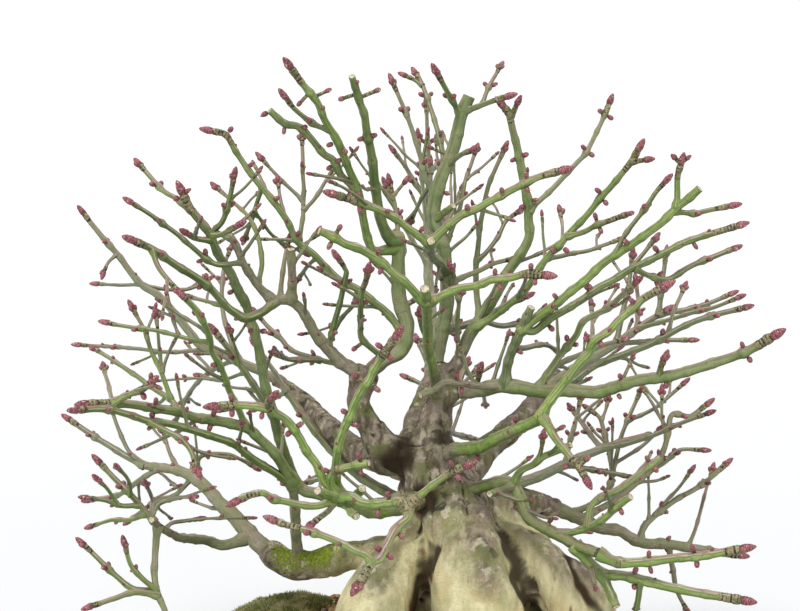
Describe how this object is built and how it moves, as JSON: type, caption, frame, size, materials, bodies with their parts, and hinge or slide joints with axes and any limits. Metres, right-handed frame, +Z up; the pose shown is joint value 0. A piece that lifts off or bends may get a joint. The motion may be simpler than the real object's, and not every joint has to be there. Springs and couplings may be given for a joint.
{
  "type": "winged euonymus bonsai",
  "caption": "Small leafless winter bonsai of winged euonymus with dense green winged twigs and red buds, grey trunk with fluted root flare, in a plain oval footed pot",
  "frame": {"origin": "centre of the overall box in plan, on the surface that the pot's feet stand on", "axes": "+Z up, the front of the tree, which the picture shows, towards -Y, +X to the right seen from the front"},
  "size_m": [0.2506, 0.2226, 0.2424],
  "materials": {
    "bark": "grey-brown fissured bark, matt, paler and ochre on the root flare",
    "green_wood": "green winged twigs, satin, red-brown where the sun reaches, with dark red buds and cream scars",
    "soil": "baked clay granules, matt",
    "moss": "short yellow-green moss, matt",
    "stoneware": "plain unglazed brown stoneware, fine grain, matt",
    "screen_plastic": "dark moulded plastic, matt",
    "clip_wire": "brown anodised soft wire"
  },
  "bodies": {
    "root": {"pot": "stoneware", "soil": "soil", "drain_screen_1": "screen_plastic", "screen_clip_1": "clip_wire", "drain_screen_2": "screen_plastic", "screen_clip_2": "clip_wire", "trunk_and_limbs": "bark", "moss_cushion_1": "moss", "moss_cushion_2": "moss", "moss_cushion_3": "moss", "moss_cushion_4": "moss", "moss_cushion_5": "moss", "spray_upper_left": "green_wood", "spray_crest_left": "green_wood", "spray_crest": "green_wood", "spray_crest_front": "green_wood", "spray_upper_right": "green_wood", "spray_right": "green_wood", "spray_right_front": "green_wood", "spray_right_low_front": "green_wood", "spray_right_low": "green_wood", "spray_left_low": "green_wood", "spray_left": "green_wood", "spray_left_middle": "green_wood", "spray_front": "green_wood", "spray_back_left": "green_wood", "spray_back": "green_wood", "spray_back_right": "green_wood", "spray_back_low_left": "green_wood", "spray_back_low_right": "green_wood", "spray_back_low": "green_wood"}
  },
  "joints": []
}
